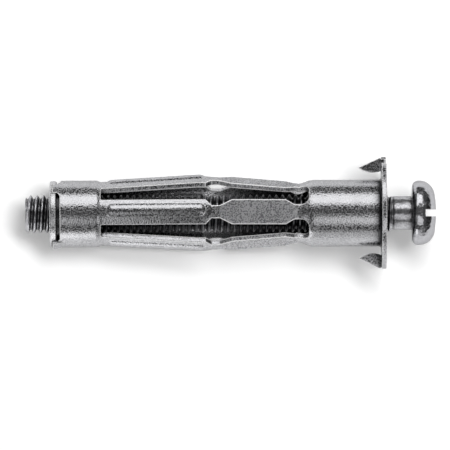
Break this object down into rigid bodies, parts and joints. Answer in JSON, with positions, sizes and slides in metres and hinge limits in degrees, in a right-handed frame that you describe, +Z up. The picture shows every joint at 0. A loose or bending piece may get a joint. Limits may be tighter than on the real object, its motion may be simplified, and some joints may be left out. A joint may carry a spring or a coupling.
{
  "type": "hollow wall anchor",
  "caption": "Slotted steel sleeve with a clawed collar, a locked threaded bush and a slotted machine screw, for fixing to a hollow panel.",
  "frame": {"origin": "on the anchor's axis, in the plane of the collar's face that bears on the panel", "axes": "+X out of the panel towards the screw's head, -X into the cavity; the anchor lies on its side, +Z up, and the claws stand at +Y and -Y"},
  "size_m": [0.0636, 0.0172, 0.0173],
  "materials": {
    "sleeve_steel": "bright zinc plate over rolled sheet, fine grain",
    "nut_steel": "zinc plate over a turned face, slightly dull",
    "screw_steel": "bright zinc plate over a rolled blank"
  },
  "bodies": {
    "anchor": {"sleeve": "sleeve_steel", "nut": "nut_steel"},
    "screw": {"screw": "screw_steel"}
  },
  "joints": [
    {"name": "screw_turn", "type": "hinge", "parent": "anchor", "child": "screw", "pos_m": [0, 0, 0], "axis": [-1, 0, 0], "continuous": true}
  ]
}
